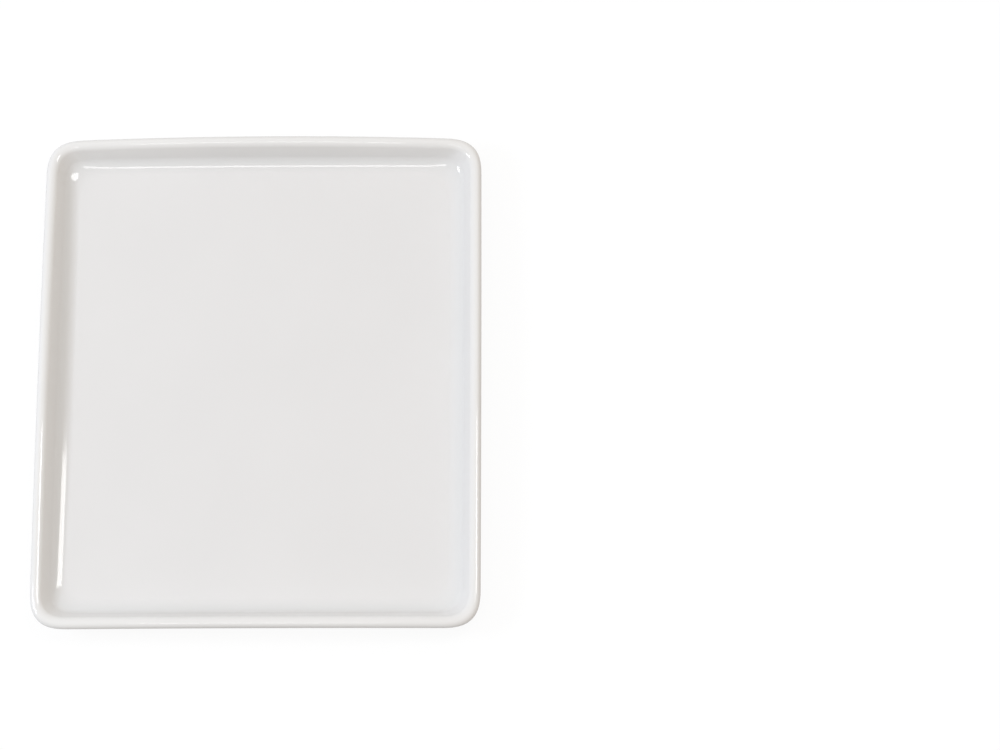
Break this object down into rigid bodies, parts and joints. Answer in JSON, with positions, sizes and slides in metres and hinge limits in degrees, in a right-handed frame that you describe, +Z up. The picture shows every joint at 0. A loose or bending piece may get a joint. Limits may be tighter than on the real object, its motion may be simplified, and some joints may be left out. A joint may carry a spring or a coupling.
{
  "type": "side plate",
  "caption": "Rectangular glazed porcelain side plate with a flat well, a low outward-leaning wall, a round lip, soft corners and a bare foot ring to stand on.",
  "frame": {"origin": "middle of the plate at the foot ring's land, on the table that it stands on", "axes": "+Z up out of the well, +X to the right across the short side, +Y to the back along the long side"},
  "size_m": [0.17, 0.195, 0.016],
  "materials": {
    "bare_porcelain": "fired and sponged smooth, unglazed at the foot ring's land",
    "white_glaze": "glossy white feldspar glaze"
  },
  "bodies": {
    "root": {"porcelain_body": "bare_porcelain", "face_glaze": "white_glaze", "base_glaze": "white_glaze"}
  },
  "joints": []
}
